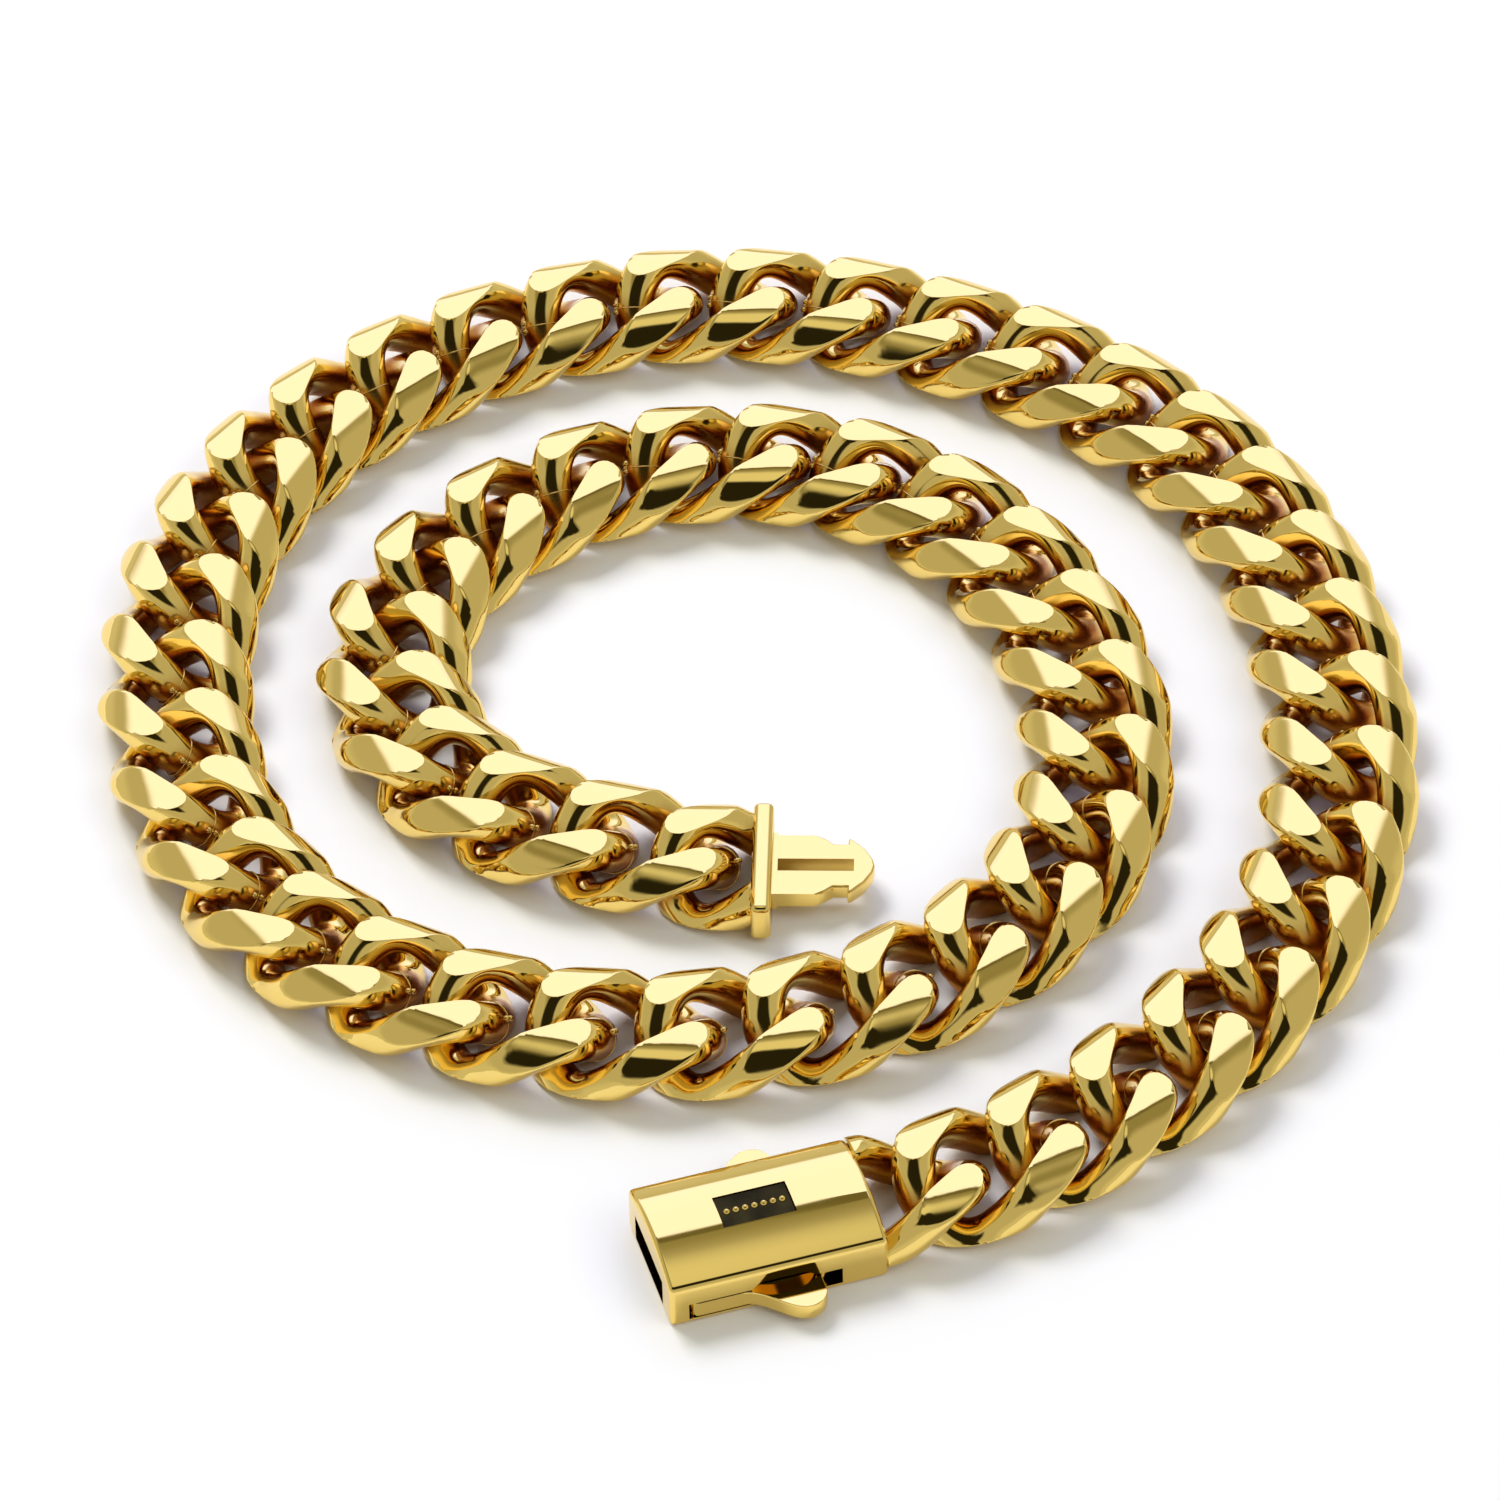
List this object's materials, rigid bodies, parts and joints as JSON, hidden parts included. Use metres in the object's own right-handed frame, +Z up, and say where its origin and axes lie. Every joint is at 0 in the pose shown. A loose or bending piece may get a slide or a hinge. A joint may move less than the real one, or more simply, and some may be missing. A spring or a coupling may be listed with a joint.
{
  "type": "curb chain necklace",
  "caption": "Flat curb chain necklace with a tongue end and a box clasp worked by two side levers, lying open.",
  "frame": {"origin": "middle of the lying necklace's outline, on the surface it rests on", "axes": "+Z up from the surface, +Y away from the clasp box along the longest extent, +X to the right as seen with the clasp box nearest"},
  "size_m": [0.1094, 0.125, 0.0053],
  "materials": {
    "gold_plate": "mirror polished",
    "dark_enamel": "gloss"
  },
  "bodies": {
    "necklace": {"chain_links": "gold_plate", "tongue_end": "gold_plate", "clasp_box": "gold_plate", "enamel_panel": "dark_enamel"},
    "lever_near": {"lever_near": "gold_plate"},
    "lever_far": {"lever_far": "gold_plate"}
  },
  "joints": [
    {"name": "lever_near_press", "type": "hinge", "parent": "necklace", "child": "lever_near", "pos_m": [-0.00559, -0.06123, 0.0013], "axis": [0, 0, 1], "range_deg": [0, 10], "stiffness_Nm_per_rad": 0.05, "springref_deg": -5.73},
    {"name": "lever_far_press", "type": "hinge", "parent": "necklace", "child": "lever_far", "pos_m": [-0.00839, -0.05153, 0.0013], "axis": [0, 0, -1], "range_deg": [0, 10], "stiffness_Nm_per_rad": 0.05, "springref_deg": -5.73}
  ]
}
